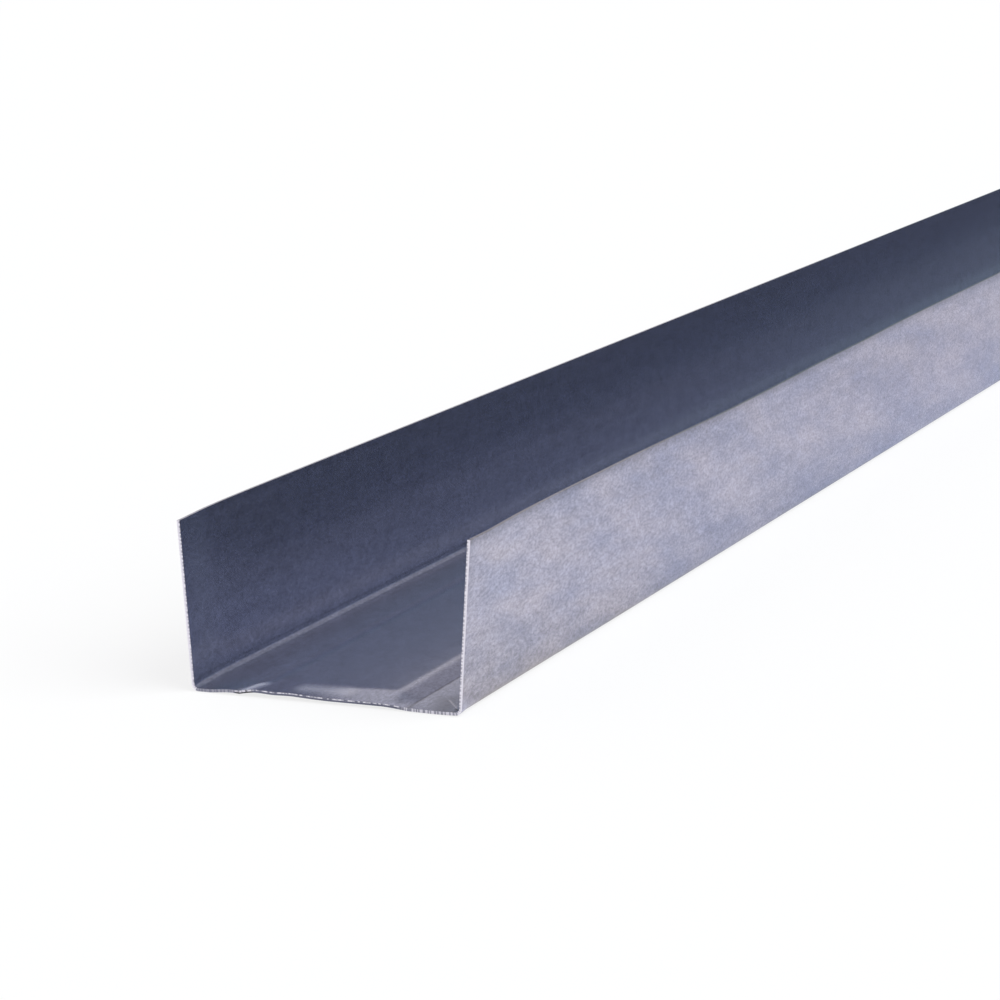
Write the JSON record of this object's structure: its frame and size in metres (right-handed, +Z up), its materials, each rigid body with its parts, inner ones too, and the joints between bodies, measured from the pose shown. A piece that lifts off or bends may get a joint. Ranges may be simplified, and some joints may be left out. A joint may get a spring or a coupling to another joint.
{
  "type": "drywall track",
  "caption": "Roll-formed U-shaped drywall track of thin galvanised sheet steel, with a raised panel along the web and upright legs that hold the studs of a partition.",
  "frame": {"origin": "under the middle of the web, half way along the length, on the plane that the web's two flat strips rest on", "axes": "+X across the web, +Y along the length, +Z up between the legs"},
  "size_m": [0.0514, 3, 0.028],
  "materials": {
    "galvanised_steel": "hot-dip galvanised, skin-passed, satin"
  },
  "bodies": {
    "root": {"track": "galvanised_steel"}
  },
  "joints": []
}
